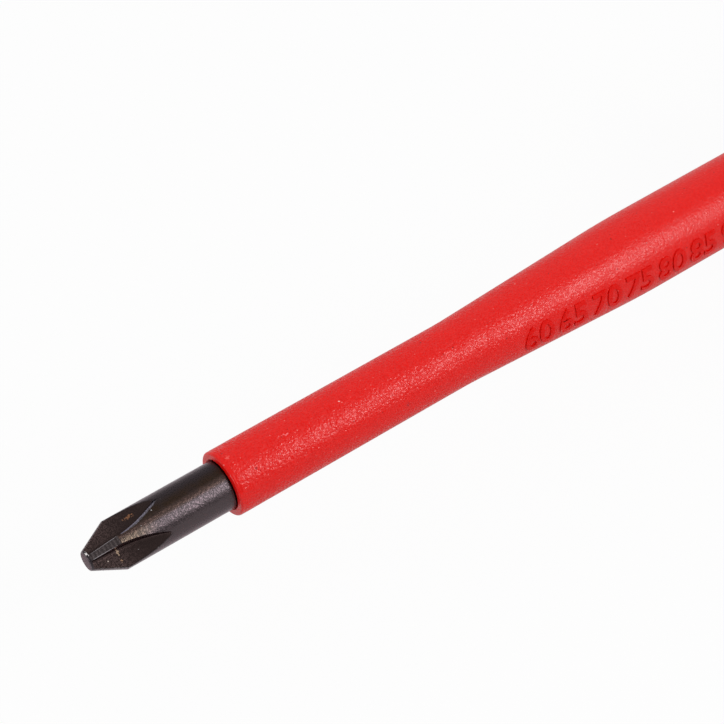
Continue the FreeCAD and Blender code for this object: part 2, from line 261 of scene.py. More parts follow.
white_surroundings()
key_lamp = soft_lamp("key_lamp", KEY_FROM, KEY_SIZE, KEY_DISTANCE, KEY_POWER)
left_lamp = soft_lamp("left_lamp", LEFT_FROM, LEFT_SIZE, LEFT_DISTANCE, LEFT_POWER)
for lamp in (key_lamp, left_lamp):
    print(lamp.name, "at", tuple(round(c, 2) for c in lamp.location))

# %% [markdown]
# Three habits keep modelling in code safe. Everything is deselected before a piece is picked,
# because an operator acts on all that is selected. Doubles are merged and normals recalculated
# after a spin. A finished piece has its place in its mesh, with its object at the origin.

# %% Habits for picking and finishing
MERGE_DISTANCE = 0.0005  # millimetres


def nothing_selected():
    if bpy.context.mode != "OBJECT":
        bpy.ops.object.mode_set(mode="OBJECT")
    bpy.ops.object.select_all(action="DESELECT")


def pick(piece):
    nothing_selected()
    piece.select_set(True)
    bpy.context.view_layer.objects.active = piece


def apply_modifier(piece, kind, **settings):
    pick(piece)
    modifier = piece.modifiers.new(kind.lower(), kind)
    for name, value in settings.items():
        setattr(modifier, name, value)
    bpy.ops.object.modifier_apply(modifier=modifier.name)


def clean_shell(piece):
    """Merge doubles and turn all faces outwards."""
    pick(piece)
    bpy.ops.object.mode_set(mode="EDIT")
    bpy.ops.mesh.select_all(action="SELECT")
    bpy.ops.mesh.remove_doubles(threshold=MERGE_DISTANCE * MM)
    bpy.ops.mesh.normals_make_consistent(inside=False)
    bpy.ops.object.mode_set(mode="OBJECT")


def settle(piece):
    """Put the piece's place into its mesh."""
    pick(piece)
    bpy.ops.object.transform_apply(location=True, rotation=True, scale=True)
    return piece


print("habits ready")

# %% [markdown]
# Most of this tool is turned. By hand that is done by drawing half an outline and spinning it
# round the centre line. The outline starts as one vertex, made by merging a small plane, and the
# vertex is extruded from corner to corner. A corner with a radius gets points on its arc.

# %% Drawing and spinning an outline
SPIN_STEPS = 144
ARC_STEPS = 8


def with_arcs(corners, steps):
    """Points (distance, radius) through corners (distance, radius, corner radius)."""
    points = []
    for i, (x, r, corner) in enumerate(corners):
        here = Vector((x, r))
        if corner <= 0:
            points.append(here)
            continue
        before = (Vector(corners[i - 1][:2]) - here).normalized()
        after = (Vector(corners[i + 1][:2]) - here).normalized()
        half = before.angle(after) / 2
        centre = here + (before + after).normalized() * corner / math.sin(half)
        start = here + before * corner / math.tan(half) - centre
        end = here + after * corner / math.tan(half) - centre
        for k in range(steps + 1):
            points.append(centre + start.slerp(end, k / steps).normalized() * corner)
    return points


def draw_line(name, places):
    """A chain of edges through places in the frame, drawn by extruding one vertex."""
    nothing_selected()
    bpy.ops.mesh.primitive_plane_add(size=MM, location=places[0])
    line = bpy.context.active_object
    line.name = name
    bpy.ops.object.mode_set(mode="EDIT")
    bpy.ops.mesh.select_all(action="SELECT")
    bpy.ops.mesh.merge(type="CENTER")
    for before, after in zip(places, places[1:]):
        step = {"value": tuple(after - before)}
        bpy.ops.mesh.extrude_region_move(TRANSFORM_OT_translate=step)
    bpy.ops.object.mode_set(mode="OBJECT")
    return settle(line)


def turned_piece(name, corners, arc_steps=ARC_STEPS):
    """A closed outline of (distance, radius, corner radius) in millimetres, spun a full turn."""
    places = [on_tool(x, 0, r) for x, r in with_arcs(corners, arc_steps)]
    piece = draw_line(name, places)
    bpy.ops.object.mode_set(mode="EDIT")
    bpy.ops.mesh.select_all(action="SELECT")
    middle = tuple(on_tool(0))
    bpy.ops.mesh.spin(steps=SPIN_STEPS, angle=2 * math.pi, center=middle, axis=(1, 0, 0))
    bpy.ops.object.mode_set(mode="OBJECT")
    clean_shell(piece)
    return piece


print("outlines are spun in", SPIN_STEPS, "steps")

# %% [markdown]
# A real blade of this kind is a turned bar whose point has four grooves, each cut by a wheel with
# a V-shaped rim. The bar is spun here from its outline, down to the end that is held in the handle.
# It could be taken from the construction model, but a fresh one has rounder curves up close.

# %% Blade: the bar
BAR_R = 3.0
POINT_R = 1.15
POINT_SLOPE = math.tan(math.radians(26.5))
BAR_END = 170.0
BAR_CHAMFER = 0.6
POINT_ROUNDING = 0.2
SHADING_RINGS = (10.0, 16.0)  # they keep the shading of the point off the shank
point_length = (BAR_R - POINT_R) / POINT_SLOPE
bar_outline = [
    (0, 0, 0),
    (0, POINT_R, POINT_ROUNDING),
    (point_length, BAR_R, 0),
    *((ring, BAR_R, 0) for ring in SHADING_RINGS),
    (BAR_END - BAR_CHAMFER, BAR_R, 0),
    (BAR_END, BAR_R - BAR_CHAMFER, 0),
    (BAR_END, 0, 0),
]
blade = turned_piece("steel_blade", bar_outline)
print(blade.name, "has", len(blade.data.vertices), "points")

# %% [markdown]
# The wheel's rim is a V with a rounded root. Its outline is drawn standing on the root line of
# the groove. Pushed forwards it cuts the straight part at the point, and spun round the middle of
# the wheel it makes the run-out that lifts back to the shank.

# %% Blade: the shape of one groove
GROOVE_HALF = math.radians(46)
GROOVE_ROOT_R = 0.35
ROOT_STEPS = 8
WING_THICKNESS = 0.72
ROOT_RISE = math.radians(3.3)
STRAIGHT_END = 3.4
GROOVE_END = 9.5
NOSE_LENGTH = 0.3
RIM_HEIGHT = 6.0
WHEEL_STEPS = 28

sharp_root = WING_THICKNESS / 2 / math.sin(math.radians(45))  # radius where two wings would meet
root_at_point = sharp_root + GROOVE_ROOT_R * (1 / math.sin(GROOVE_HALF) - 1)
root_at_bend = root_at_point + STRAIGHT_END * math.tan(ROOT_RISE)
run_out, lift = GROOVE_END - STRAIGHT_END, BAR_R - root_at_bend
wheel_turn = 2 * (math.atan2(lift, run_out) - ROOT_RISE)
wheel_r = math.hypot(run_out, lift) / 2 / math.sin(wheel_turn / 2)
print("cutting wheel radius", round(wheel_r, 2), "mm")


def rim_places():
    """Places round the rim's section, which leans with the root line."""
    up = Vector((-math.sin(ROOT_RISE), 0, math.cos(ROOT_RISE)))
    side = Vector((0, 1, 0))
    foot = on_tool(STRAIGHT_END, 0, root_at_bend)
    centre = foot + up * GROOVE_ROOT_R * MM
    places = []
    for k in range(ROOT_STEPS + 1):
        turn = (GROOVE_HALF - math.pi / 2) + (math.pi - 2 * GROOVE_HALF) * k / ROOT_STEPS
        out = side * math.sin(turn) - up * math.cos(turn)
        places.append(centre + out * GROOVE_ROOT_R * MM)
    reach = RIM_HEIGHT * math.tan(GROOVE_HALF)
    places.append(foot + (up * RIM_HEIGHT + side * reach) * MM)
    places.append(foot + (up * RIM_HEIGHT - side * reach) * MM)
    return places + places[:1], up


# %% [markdown]
# The groove's cutter is one tube: the closed outline is extruded towards the point, and the same
# outline is spun backwards round the wheel's middle. Both open ends are then filled. The tube stops
# just short of the end, so that a thin solid nose is left in front of the grooves.

# %% Blade: the groove cutter
TOUCHING = 0.01  # millimetres


def select_points(piece, wanted):
    """In edit mode, select the points for which wanted(place) is true."""
    bpy.ops.mesh.select_all(action="DESELECT")
    bpy.ops.object.mode_set(mode="OBJECT")
    for point in piece.data.vertices:
        point.select = wanted(point.co)
    bpy.ops.object.mode_set(mode="EDIT")


def groove_cutter():
    places, up = rim_places()
    cutter = draw_line("groove_cutter", places)
    clean_shell(cutter)
    forwards = Vector((-math.cos(ROOT_RISE), 0, -math.sin(ROOT_RISE)))
    push = forwards * (STRAIGHT_END - NOSE_LENGTH) * MM
    bend = on_tool(STRAIGHT_END, 0, root_at_bend)
    bpy.ops.object.mode_set(mode="EDIT")
    bpy.ops.mesh.select_all(action="SELECT")
    bpy.ops.mesh.extrude_region_move(TRANSFORM_OT_translate={"value": tuple(push)})
    select_points(cutter, lambda place: abs((place - bend).dot(forwards)) < TOUCHING * MM)
    middle = bend + up * wheel_r * MM
    bpy.ops.mesh.spin(
        steps=WHEEL_STEPS,
        angle=2 * wheel_turn,
        center=tuple(middle),
        axis=(0, 1, 0),
    )
    bpy.ops.object.mode_set(mode="OBJECT")
    clean_shell(cutter)
    bpy.ops.object.mode_set(mode="EDIT")
    bpy.ops.mesh.select_all(action="SELECT")
    bpy.ops.mesh.fill_holes(sides=0)
    bpy.ops.object.mode_set(mode="OBJECT")
    clean_shell(cutter)
    return cutter


cutter = groove_cutter()
print("cutter size in mm", tuple(round(d / MM, 2) for d in cutter.dimensions))

# %% [markdown]
# One cutter serves for all four grooves: each cut uses a copy that is turned about the centre line.
# The wings stand a little off upright, as chance left them on this tool.

# %% Blade: cutting the grooves
POINT_ROLL = 28.0


def turned_copy(piece, angle, name):
    """A copy with its own mesh, turned about the tool's centre line by degrees."""
    copy = bpy.data.objects.new(name, piece.data.copy())
    bpy.context.collection.objects.link(copy)
    middle = Matrix.Translation(on_tool(0))
    turn = Matrix.Rotation(math.radians(angle), 4, "X")
    copy.data.transform(middle @ turn @ middle.inverted())
    return copy


def cut_away(piece, tool):
    apply_modifier(piece, "BOOLEAN", operation="DIFFERENCE", solver="EXACT", object=tool)
    bpy.data.objects.remove(tool)


for quarter in range(4):
    groove_turn = POINT_ROLL + 45 + 90 * quarter  # midway between two wings
    cut_away(blade, turned_copy(cutter, groove_turn, "groove"))
bpy.data.objects.remove(cutter)
clean_shell(blade)
print(blade.name, "now has", len(blade.data.polygons), "faces")

# %% [markdown]
# Wear has rounded the front lip of the upper groove more than the others, and the rounding catches
# the light as a pale band. Both edges of the wing below it are rounded a little too. The points of
# these edges are easy to find: no other points lie on the uncut bar or cone between the rings.

# %% Blade: worn edges
LIP_WIDTH, LIP_STRETCH = 0.38, (4.0, 9.45)
WING_EDGE_WIDTH, WING_STRETCH = 0.09, (0.45, 3.6)
WEAR_STEPS = 3
UPPER_SIDE = (POINT_ROLL - 45, POINT_ROLL)  # of the wing that faces up and to the front
LOWER_SIDE = (POINT_ROLL, POINT_ROLL + 45)


def on_edge(place, stretch, side):
    """Whether a place lies on the uncut surface, in a stretch of the tool and a range of turn."""
    along, across, up = (place - on_tool(0)) / MM
    turn = math.degrees(math.atan2(-across, up))
    uncut = min(along * POINT_SLOPE + POINT_R, BAR_R)
    on_surface = abs(math.hypot(across, up) - uncut) < TOUCHING
    return on_surface and stretch[0] < along < stretch[1] and side[0] < turn < side[1]


def wear_edge(width, stretch, side):
    """Round the edge between a groove and the uncut surface to a width in millimetres."""
    pick(blade)
    bpy.ops.object.mode_set(mode="EDIT")
    bpy.ops.mesh.select_mode(type="VERT")
    select_points(blade, lambda place: on_edge(place, stretch, side))
    bpy.ops.mesh.bevel(offset=width * MM, segments=WEAR_STEPS, clamp_overlap=False)
    bpy.ops.object.mode_set(mode="OBJECT")
    clean_shell(blade)


wear_edge(LIP_WIDTH, LIP_STRETCH, UPPER_SIDE)
wear_edge(WING_EDGE_WIDTH, WING_STRETCH, UPPER_SIDE)
wear_edge(WING_EDGE_WIDTH, WING_STRETCH, LOWER_SIDE)
print(blade.name, "with its worn edges has", len(blade.data.polygons), "faces")

# %% [markdown]
# Inside the handle the bar is pressed flat and wide in two places, so that it can't turn or pull
# out. Nobody sees these ears, but a blade without them would not be the real piece. Each one is a
# cube, stretched to size, with its upright edges bevelled, and joined to the bar.

# %% Blade: the ears in the handle
EAR_SIZE = (9.0, 8.6, 3.6)
EAR_ENDS = (167.6, 145.6)
EAR_BEVEL = 1.3


def join_to(piece, addition):
    apply_modifier(piece, "BOOLEAN", operation="UNION", solver="EXACT", object=addition)
    bpy.data.objects.remove(addition)


def add_ear(end):
    nothing_selected()
    length, width, thickness = EAR_SIZE
    bpy.ops.mesh.primitive_cube_add(size=MM, location=on_tool(end - length / 2))
    ear = bpy.context.active_object
    bpy.ops.transform.resize(value=EAR_SIZE)
    settle(ear)
    bpy.ops.object.mode_set(mode="EDIT")
    bpy.ops.mesh.select_all(action="DESELECT")
    bpy.ops.object.mode_set(mode="OBJECT")
    for edge in ear.data.edges:
        a, b = (ear.data.vertices[v].co for v in edge.vertices)
        edge.select = abs(a.z - b.z) > thickness * MM / 2
    bpy.ops.object.mode_set(mode="EDIT")
    bpy.ops.mesh.bevel(offset=EAR_BEVEL * MM, segments=1)
    bpy.ops.object.mode_set(mode="OBJECT")
    join_to(blade, ear)


for ear_end in EAR_ENDS:
    add_ear(ear_end)
print("blade is", round(blade.dimensions.y / MM, 1), "mm wide at its ears")

# %% [markdown]
# Cut steel is never quite sharp. A narrow bevel on every edge steeper than a set angle catches the
# light as a thin line. The bevels are shaded as one smooth surface with the faces beside them, and
# weighted normals keep those faces flat.

# %% Blade: soft edges
EDGE_ANGLE = 25.0  # degrees; edges steeper than this are bevelled
SMOOTH_ANGLE = 60.0  # degrees; faces that meet at less than this are shaded as one


def soften(piece, width, angle=EDGE_ANGLE):
    """Bevel of a width in millimetres on edges steeper than an angle in degrees."""
    pick(piece)
    bpy.ops.object.shade_smooth_by_angle(angle=math.radians(angle))
    apply_modifier(
        piece,
        "BEVEL",
        width=width * MM,
        segments=2,
        limit_method="ANGLE",
        angle_limit=math.radians(angle),
    )
    pick(piece)
    bpy.ops.object.shade_smooth_by_angle(angle=math.radians(SMOOTH_ANGLE))
    apply_modifier(piece, "WEIGHTED_NORMAL", weight=100, keep_sharp=True)


soften(blade, width=0.05)
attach(blade, "root")
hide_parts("blade")
print(blade.name, "has", len(blade.data.polygons), "faces after the bevel")

# %% [markdown]
# The insulating sleeve is moulded over the blade. It starts with a rounded lip, runs slim for a
# while, and then swells in a long cone towards the handle. Its outline goes back along the bore,
# so the spun shape is a real tube with a wall, and a collar that anchors it in the handle.

# %% Sleeve
SLEEVE_FRONT, SLEEVE_END = 17.85, 127.0
SLIM_R, FULL_R = 4.0, 5.125
CONE_START, CONE_END = 50.6, 76.2
CONE_BENDS = (60.0, 150.0)  # radii that blend the cone into the slim and the full part
CONE_STEPS = 10
MOUTH = 0.2
LIP_R = 0.3
COLLAR_START, COLLAR_END, COLLAR_R = 108.0, 112.0, 6.5
sleeve_outline = [
    (SLEEVE_END, BAR_R, 0),
    (SLEEVE_FRONT + MOUTH, BAR_R, 0),
    (SLEEVE_FRONT, BAR_R + MOUTH, 0),
    (SLEEVE_FRONT, SLIM_R, LIP_R),
    (CONE_START, SLIM_R, CONE_BENDS[0]),
    (CONE_END, FULL_R, CONE_BENDS[1]),
    (COLLAR_START, FULL_R, 0),
    (COLLAR_START, COLLAR_R, 0),
    (COLLAR_END, COLLAR_R, 0),
    (COLLAR_END, FULL_R, 0),
    (SLEEVE_END, FULL_R, 0),
    (SLEEVE_END, BAR_R, 0),
]
sleeve = turned_piece("insulating_sleeve", sleeve_outline, arc_steps=CONE_STEPS)
pick(sleeve)
bpy.ops.object.shade_smooth_by_angle(angle=math.radians(EDGE_ANGLE))
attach(sleeve, "root")
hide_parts("blade_sleeve")
print(sleeve.name, "is", round(sleeve.dimensions.x / MM, 1), "mm long")

# %% [markdown]
# The sleeve carries raised figures along one side. They are moulded with it, so they follow its
# round surface. Flat text is made a mesh and thickened into blocks that stand square to the
# surface. A jacket, which is the sleeve's own form a hair larger, is then used to trim them.

# %% Raised figures: the blocks
FIGURE_ANGLE = 82.0  # degrees from the top towards the front
FIGURE_HEIGHT = 3.1
FIGURE_RELIEF = 0.15
FIGURE_BOLDER = 0.06
FIGURE_DEPTH = 2.0  # to each side of the place where a block stands
FIGURE_FOOT = 5.0  # radius of that place
FIGURE_SHARE = 0.7  # a figure's height as a share of its type size
FIGURE_SPACING = 0.98
FIGURES = (60, 65, 70, 75, 80, 85, 90)


def figure_block(number):
    """A number as a thick block that passes through the sleeve's wall at its own distance."""
    nothing_selected()
    bpy.ops.object.text_add()
    text = bpy.context.active_object
    text.name = "figure_block"
    text.data.body = str(number)
    text.data.size = FIGURE_HEIGHT * MM / FIGURE_SHARE
    text.data.align_x = "CENTER"
    text.data.align_y = "CENTER"
    text.data.extrude = FIGURE_DEPTH * MM
    text.data.resolution_u = 6
    text.data.space_character = FIGURE_SPACING
    text.data.offset = FIGURE_BOLDER * MM
    bpy.ops.object.convert(target="MESH")
    out = on_tool(0, FIGURE_ANGLE, 1) - on_tool(0)
    along = Vector((1, 0, 0))
    up = out.cross(along)
    turn = Matrix((along, up, out)).transposed().normalized().to_4x4()
    place = Matrix.Translation(on_tool(number, FIGURE_ANGLE, FIGURE_FOOT))
    text.data.transform(place @ turn)
    clean_shell(text)
    return text


# %% [markdown]
# The text's own top lies towards the upper side of the tool, as its reader stands in front. The
# trimmed figures sink a little into the sleeve, so that no gap can show under them.

# %% Raised figures: the jacket that trims them
JACKET_START, JACKET_END = 40.0, 98.0
JACKET_SINK = 0.3


def jacket():
    """A tube from a little under the sleeve's surface to the height of the figures."""
    slim_top, slim_foot = SLIM_R + FIGURE_RELIEF, SLIM_R - JACKET_SINK
    full_top, full_foot = FULL_R + FIGURE_RELIEF, FULL_R - JACKET_SINK
    corners = [
        (JACKET_START, slim_foot, 0),
        (JACKET_START, slim_top, 0),
        (CONE_START, slim_top, CONE_BENDS[0]),
        (CONE_END, full_top, CONE_BENDS[1]),
        (JACKET_END, full_top, 0),
        (JACKET_END, full_foot, 0),
        (CONE_END, full_foot, 0),
        (CONE_START, slim_foot, 0),
        (JACKET_START, slim_foot, 0),
    ]
    return turned_piece("jacket", corners, arc_steps=CONE_STEPS)


def raised_figures():
    blocks = [figure_block(number) for number in FIGURES]
    pick(blocks[0])
    for block in blocks[1:]:
        block.select_set(True)
    bpy.ops.object.join()
    figures = blocks[0]
    figures.name = "raised_figures"
    trim = jacket()
    apply_modifier(figures, "BOOLEAN", operation="INTERSECT", solver="EXACT", object=trim)
    bpy.data.objects.remove(trim)
    clean_shell(figures)
    return figures


figures = raised_figures()
soften(figures, width=0.06, angle=40)
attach(figures, "root")
print(figures.name, "has", len(figures.data.polygons), "faces")

# %% [markdown]
# The handle's hard pieces keep the construction model's forms exactly, because other parts mate
# with them. A node is loose triangles, so its copy is merged first. Triangles that lie in one flat
# face are then dissolved into it, and the edges get their moulded roundings from a bevel.

# %% Handle: finished copies of hard pieces
FLAT_ANGLE = 0.4  # degrees; triangles that meet at less than this are one flat face


def finished_copy(node, name, edge_width):
    """A node's copy with its edges rounded to a width in millimetres, in the node's place."""
    copy = bpy.data.objects.new(name, nodes[node].data.copy())
    bpy.context.collection.objects.link(copy)
    copy.data.materials.clear()
    clean_shell(copy)
    bpy.ops.object.mode_set(mode="EDIT")
    bpy.ops.mesh.select_all(action="SELECT")
    bpy.ops.mesh.dissolve_limited(angle_limit=math.radians(FLAT_ANGLE))
    bpy.ops.object.mode_set(mode="OBJECT")
    soften(copy, edge_width)
    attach(copy, "root")
    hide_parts(node)
    return copy


shell = finished_copy("handle_shell", "hard_shell", edge_width=0.2)
cap = finished_copy("end_cap", "hanging_cap", edge_width=0.25)
print(shell.name, "and", cap.name, "made from the frame")

# %% [markdown]
# In front of the palm lies a slim zone where the fingertips roll the handle. Such handles have
# lengthwise grooves there. A thin ring of round section, laid over the waist, cuts each one: its
# curve is tighter than the waist's, so the groove runs out at both ends.

# %% Handle: grooves of the spin grip
GROOVE_COUNT = 12
GROOVE_DEPTH = 0.6
FIRST_GROOVE = 15.0  # degrees from the top
CUTTER_R = 1.2
CUTTER_ARC = 30.0
WAIST_AT = 127.0
WAIST_R = 9.1


def ring_cutter():
    nothing_selected()
    height = WAIST_R - GROOVE_DEPTH + CUTTER_R + CUTTER_ARC
    bpy.ops.mesh.primitive_torus_add(
        location=on_tool(WAIST_AT, 0, height),
        rotation=(math.pi / 2, 0, 0),
        major_segments=160,
        minor_segments=20,
        major_radius=CUTTER_ARC * MM,
        minor_radius=CUTTER_R * MM,
    )
    return settle(bpy.context.active_object)


spin_grip = finished_copy("spin_grip", "spin_grip_soft", edge_width=0.15)
ring = ring_cutter()
for i in range(GROOVE_COUNT):
    groove_turn = 360 / GROOVE_COUNT * i + FIRST_GROOVE
    cut_away(spin_grip, turned_copy(ring, groove_turn, "groove"))
bpy.data.objects.remove(ring)
soften(spin_grip, width=0.12)
print(spin_grip.name, "has", len(spin_grip.data.polygons), "faces")

# %% [markdown]
# The palm grip is soft plastic too, between three hard pads that let the hand slide. It keeps the
# construction model's form, with its edges rounded as those of the hard pieces are.

# %% Handle: palm grip
palm_grip = finished_copy("palm_grip", "palm_grip_soft", edge_width=0.2)
print(palm_grip.name, "has", len(palm_grip.data.polygons), "faces")

# %% [markdown]
# Every finish starts in the same way: a Principled shader, and a Mapping node that turns places in
# metres into millimetres along the tool, counted from its point and its centre line. A pattern
# that reads those stays where it is when the piece is looked at from another side.

# %% Finishes: the start of each one
def new_finish(name):
    finish = bpy.data.materials.new(name)
    finish.use_nodes = True
    tree = finish.node_tree
    shader = tree.nodes["Principled BSDF"]
    places = tree.nodes.new("ShaderNodeTexCoord")
    mapping = tree.nodes.new("ShaderNodeMapping")
    mapping.inputs["Scale"].default_value = (1 / MM, 1 / MM, 1 / MM)
    mapping.inputs["Location"].default_value = (-POINT_X / MM, 0, -AXIS_Z / MM)
    tree.links.new(places.outputs["Object"], mapping.inputs["Vector"])
    return finish, tree, shader, mapping.outputs["Vector"]


MIDDLE = (0.3, 0.7)  # most of a noise lies between these


def noise(tree, vector, scale, detail, roughness=0.5):
    """A noise between 0 and 1; its scale is in grains per millimetre."""
    node = tree.nodes.new("ShaderNodeTexNoise")
    node.inputs["Scale"].default_value = scale
    node.inputs["Detail"].default_value = detail
    node.inputs["Roughness"].default_value = roughness
    tree.links.new(vector, node.inputs["Vector"])
    return node.outputs["Fac"]


def blended(tree, share, first, second):
    """Colour that goes from first to second; each is a colour or an output."""
    node = tree.nodes.new("ShaderNodeMix")
    node.data_type = "RGBA"
    tree.links.new(share, node.inputs["Factor"])
    for name, colour in (("A", first), ("B", second)):
        socket = [s for s in node.inputs if s.name == name and s.type == "RGBA"][0]
        if isinstance(colour, tuple):
            socket.default_value = (*colour, 1)
        else:
            tree.links.new(colour, socket)
    return [s for s in node.outputs if s.type == "RGBA"][0]


def specks(tree, mm, size, start, full):
    """Spots where a plain noise comes near its top, between a start and a full level."""
    return graded(tree, noise(tree, mm, size, 0.0), start, full)


def bumped(tree, height, depth):
    """Bump of a depth in millimetres from a height between 0 and 1."""
    node = tree.nodes.new("ShaderNodeBump")
    node.inputs["Strength"].default_value = 1.0
    node.inputs["Distance"].default_value = depth * MM
    tree.links.new(height, node.inputs["Height"])
    return node.outputs["Normal"]


def product(tree, first, *others):
    """All the numbers multiplied, each an output of a node."""
    for other in others:
        first = arithmetic(tree, "MULTIPLY", first, other)
    return first


def dressed(finish, *pieces):
    """Give a finish to pieces, in place of any other."""
    for piece in pieces:
        piece.data.materials.clear()
        piece.data.materials.append(finish)
    print(finish.name, "on", ", ".join(piece.name for piece in pieces))


print("finish helpers ready")

# %% [markdown]
# A used tool carries small marks: rust and dried dirt in the grooves, and nicks and specks in the
# plastic. One more mark is a painted highlight, a white spot at the rim of the end. Each mark is a
# ball of space round one place on the surface, stretched as the mark is, and roughened by a noise
# so that its outline is ragged. Places and radii are in millimetres, from the middle of the tip.

# %% Finishes: small marks
STEEL_MARKS_AND_HIGHLIGHT = (  # place, radii, colour
    ((6.44, 1.25, 1.72), (0.85, 0.24, 0.3), (0.20, 0.085, 0.035)),
    ((3.43, -1.05, 0.02), (0.15, 0.42, 0.30), (0.42, 0.29, 0.19)),
    ((3.39, -1.86, -0.44), (0.14, 0.22, 0.2), (0.30, 0.17, 0.09)),
    # a painted highlight at the rim of the end
    ((0.24, 0.05, 1.22), (0.20, 0.36, 0.14), (0.75, 0.71, 0.70)),
    ((2.06, -1.30, -0.20), (0.10, 0.10, 0.10), (0.50, 0.41, 0.35)),
    ((8.45, -0.38, 2.98), (0.10, 0.10, 0.10), (0.75, 0.75, 0.78)),
)
SLEEVE_MARKS = (  # the same
    ((25.60, -0.85, 3.91), (0.55, 0.14, 0.14), (0.84, 0.13, 0.13)),
    ((26.25, -0.98, 3.88), (0.60, 0.14, 0.14), (0.86, 0.15, 0.16)),
    ((18.85, 0.12, 4.00), (0.30, 0.24, 0.18), (0.80, 0.07, 0.06)),
    ((20.93, -2.44, 3.17), (0.19, 0.19, 0.19), (0.40, 0.006, 0.008)),
    ((40.99, -3.84, 1.12), (0.24, 0.24, 0.24), (0.46, 0.006, 0.010)),
    ((33.62, -0.62, 3.95), (0.11, 0.11, 0.11), (0.92, 0.40, 0.36)),
)
RAGGED = (-0.3, 0.7)  # how far the noise moves an outline, in radii
OUTLINE = (0.8, 1.0)  # where a mark ends softly, in radii


def mark(tree, mm, place, radii, ragged):
    """1 on the surface near a place and 0 away from it."""
    mapping = tree.nodes.new("ShaderNodeMapping")
    mapping.inputs["Scale"].default_value = tuple(1 / r for r in radii)
    mapping.inputs["Location"].default_value = tuple(-p / r for p, r in zip(place, radii))
    tree.links.new(mm, mapping.inputs["Vector"])
    distance = tree.nodes.new("ShaderNodeVectorMath")
    distance.operation = "LENGTH"
    tree.links.new(mapping.outputs["Vector"], distance.inputs[0])
    raggedness = graded(tree, ragged, *MIDDLE, *RAGGED)
    outline = arithmetic(tree, "ADD", distance.outputs["Value"], raggedness)
    return graded(tree, outline, *OUTLINE, 1.0, 0.0)


def marked(tree, mm, colour, marks, ragged):
    """The colour with its marks added, and the mask of each mark."""
    masks = []
    for place, radii, tint in marks:
        here = mark(tree, mm, place, radii, ragged)
        colour = blended(tree, here, colour, tint)
        masks.append(here)
    return colour, masks


print(len(STEEL_MARKS_AND_HIGHLIGHT), "marks on the steel,", len(SLEEVE_MARKS), "on the sleeve")

# %% [markdown]
# The sleeve is a tough red plastic from a mould with a fine spark-eroded grain, which breaks its
# shine into a wide sparkling band. Two noises of different size give that texture. The coarser one
# also shifts the red a little, and specks of dust and dark points lie on it.

# %% Finish of the sleeve: colour
DEEP_RED, CLEAR_RED = (0.68, 0.003, 0.001), (0.74, 0.006, 0.003)
DARK_SPECK, DARK_SPECKS = (0.30, 0.012, 0.010), (2.7, 0.83, 0.87)  # colour; size and levels
DUST, DUST_SPECKS = (0.85, 0.20, 0.18), (3.7, 0.84, 0.88)


def diluted(colour, pigment):
    return tuple(pigment * part for part in colour)


def red_colour(tree, mm, grain, fine, pigment):
    """Two reds that follow the grain, with specks and marks."""
    high = graded(tree, grain, *MIDDLE)
    colour = blended(tree, high, diluted(DEEP_RED, pigment), diluted(CLEAR_RED, pigment))
    colour = blended(tree, specks(tree, mm, *DARK_SPECKS), colour, DARK_SPECK)
    colour = blended(tree, specks(tree, mm, *DUST_SPECKS), colour, DUST)
    return marked(tree, mm, colour, SLEEVE_MARKS, fine)[0]


print("reds", DEEP_RED, CLEAR_RED)

# %% [markdown]
# The lip was trimmed smooth, so the grain starts a little behind it. Hands have polished the full
# part, where both the bump and the sparkle are weaker. The raised figures are the same plastic, a
# shade darker, with less shine and a shallower grain.

# %% Finish of the sleeve: grain and gloss
GRAIN_SIZE, FINE_SIZE, PATCH_SIZE = 3.2, 5.0, 0.7  # in a millimetre
GRAIN_START, LIP_GRAIN = (SLEEVE_FRONT + 0.3, SLEEVE_FRONT + 0.8), 0.15
HANDLED, HANDLED_GRAIN = (42, 85), 0.45  # stretch where the grain fades, and what stays of it
PATCH_GRAIN = 0.55  # what stays of the grain between its deeper patches
ROUGHNESS, LEAST_ROUGHNESS = 0.36, 0.22
SPARKLE = (0.42, 0.60, 0.16, -0.18)  # levels of the fine grain, and change of roughness there


def sleeve_finish(name, pigment, shine, grain_depth):
    """Red plastic: its share of full colour, its shine, and its grain's depth in millimetres."""
    finish, tree, shader, mm = new_finish(name)
    grain = noise(tree, mm, GRAIN_SIZE, 1.0, 0.5)
    fine = noise(tree, mm, FINE_SIZE, 0.0)
    patches = noise(tree, mm, PATCH_SIZE, 2.0)
    apart = tree.nodes.new("ShaderNodeSeparateXYZ")
    tree.links.new(mm, apart.inputs[0])
    past_lip = graded(tree, apart.outputs["X"], *GRAIN_START)
    handled = graded(tree, apart.outputs["X"], *HANDLED, 1.0, HANDLED_GRAIN)
    tree.links.new(red_colour(tree, mm, grain, fine, pigment), shader.inputs["Base Color"])
    sparkle = product(tree, graded(tree, fine, *SPARKLE), handled)
    rough = product(tree, arithmetic(tree, "ADD", sparkle, ROUGHNESS), past_lip)
    rough = arithmetic(tree, "MAXIMUM", rough, LEAST_ROUGHNESS)
    tree.links.new(rough, shader.inputs["Roughness"])
    shader.inputs["Specular IOR Level"].default_value = shine
    deeper = graded(tree, patches, *MIDDLE, PATCH_GRAIN, 1.0)
    smooth_lip = graded(tree, past_lip, 0, 1, LIP_GRAIN, 1.0)
    height = product(tree, grain, deeper, smooth_lip, handled)
    tree.links.new(bumped(tree, height, grain_depth), shader.inputs["Normal"])
    return finish


dressed(sleeve_finish("sleeve_plastic", pigment=1.0, shine=0.34, grain_depth=0.13), sleeve)
dressed(sleeve_finish("figure_plastic", pigment=0.95, shine=0.14, grain_depth=0.05), figures)

# %% [markdown]
# The blade is blackened steel. The black is an oxide a few thousandths thick, so it shines like
# metal but dark. To colour each zone of the point, the finish compares a place's distance from the
# centre line with the uncut bar's: where they agree it is on the bar or the ground cone, a little
# less is a wing's worn edge, and much less is the wall of a groove.

